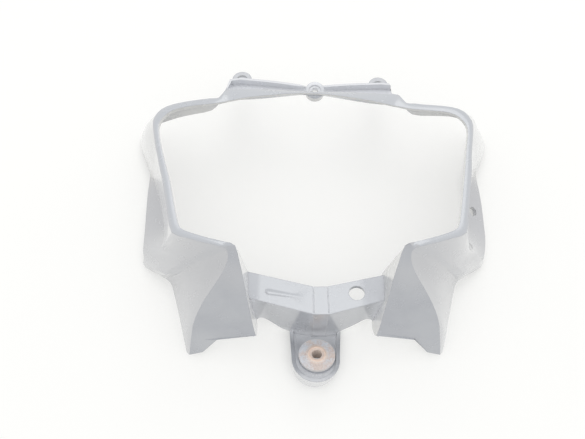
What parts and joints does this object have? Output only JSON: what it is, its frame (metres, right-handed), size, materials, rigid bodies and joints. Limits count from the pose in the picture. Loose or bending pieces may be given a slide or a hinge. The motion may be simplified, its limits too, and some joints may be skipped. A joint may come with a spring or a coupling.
{
  "type": "motorbike headlight cowl",
  "caption": "One-piece moulded surround for a motorbike headlight, with an open front, side cheeks, a crossbar and a tab with a flanged steel collar.",
  "frame": {"origin": "on the plane the cowl lies on, under the middle of its bounding box", "axes": "+X to the cowl's right as seen from the front, +Y towards the screw ears at the top, +Z out of the front of the headlight opening"},
  "size_m": [0.2638, 0.2252, 0.075],
  "materials": {
    "cowl_plastic": null,
    "grommet_rubber": "matt dark rubber",
    "collar_steel": "zinc-plated steel, mostly gone to brown and orange rust"
  },
  "bodies": {
    "root": {"cowl": "cowl_plastic", "mount_grommet": "grommet_rubber", "mount_collar": "collar_steel"}
  },
  "joints": []
}
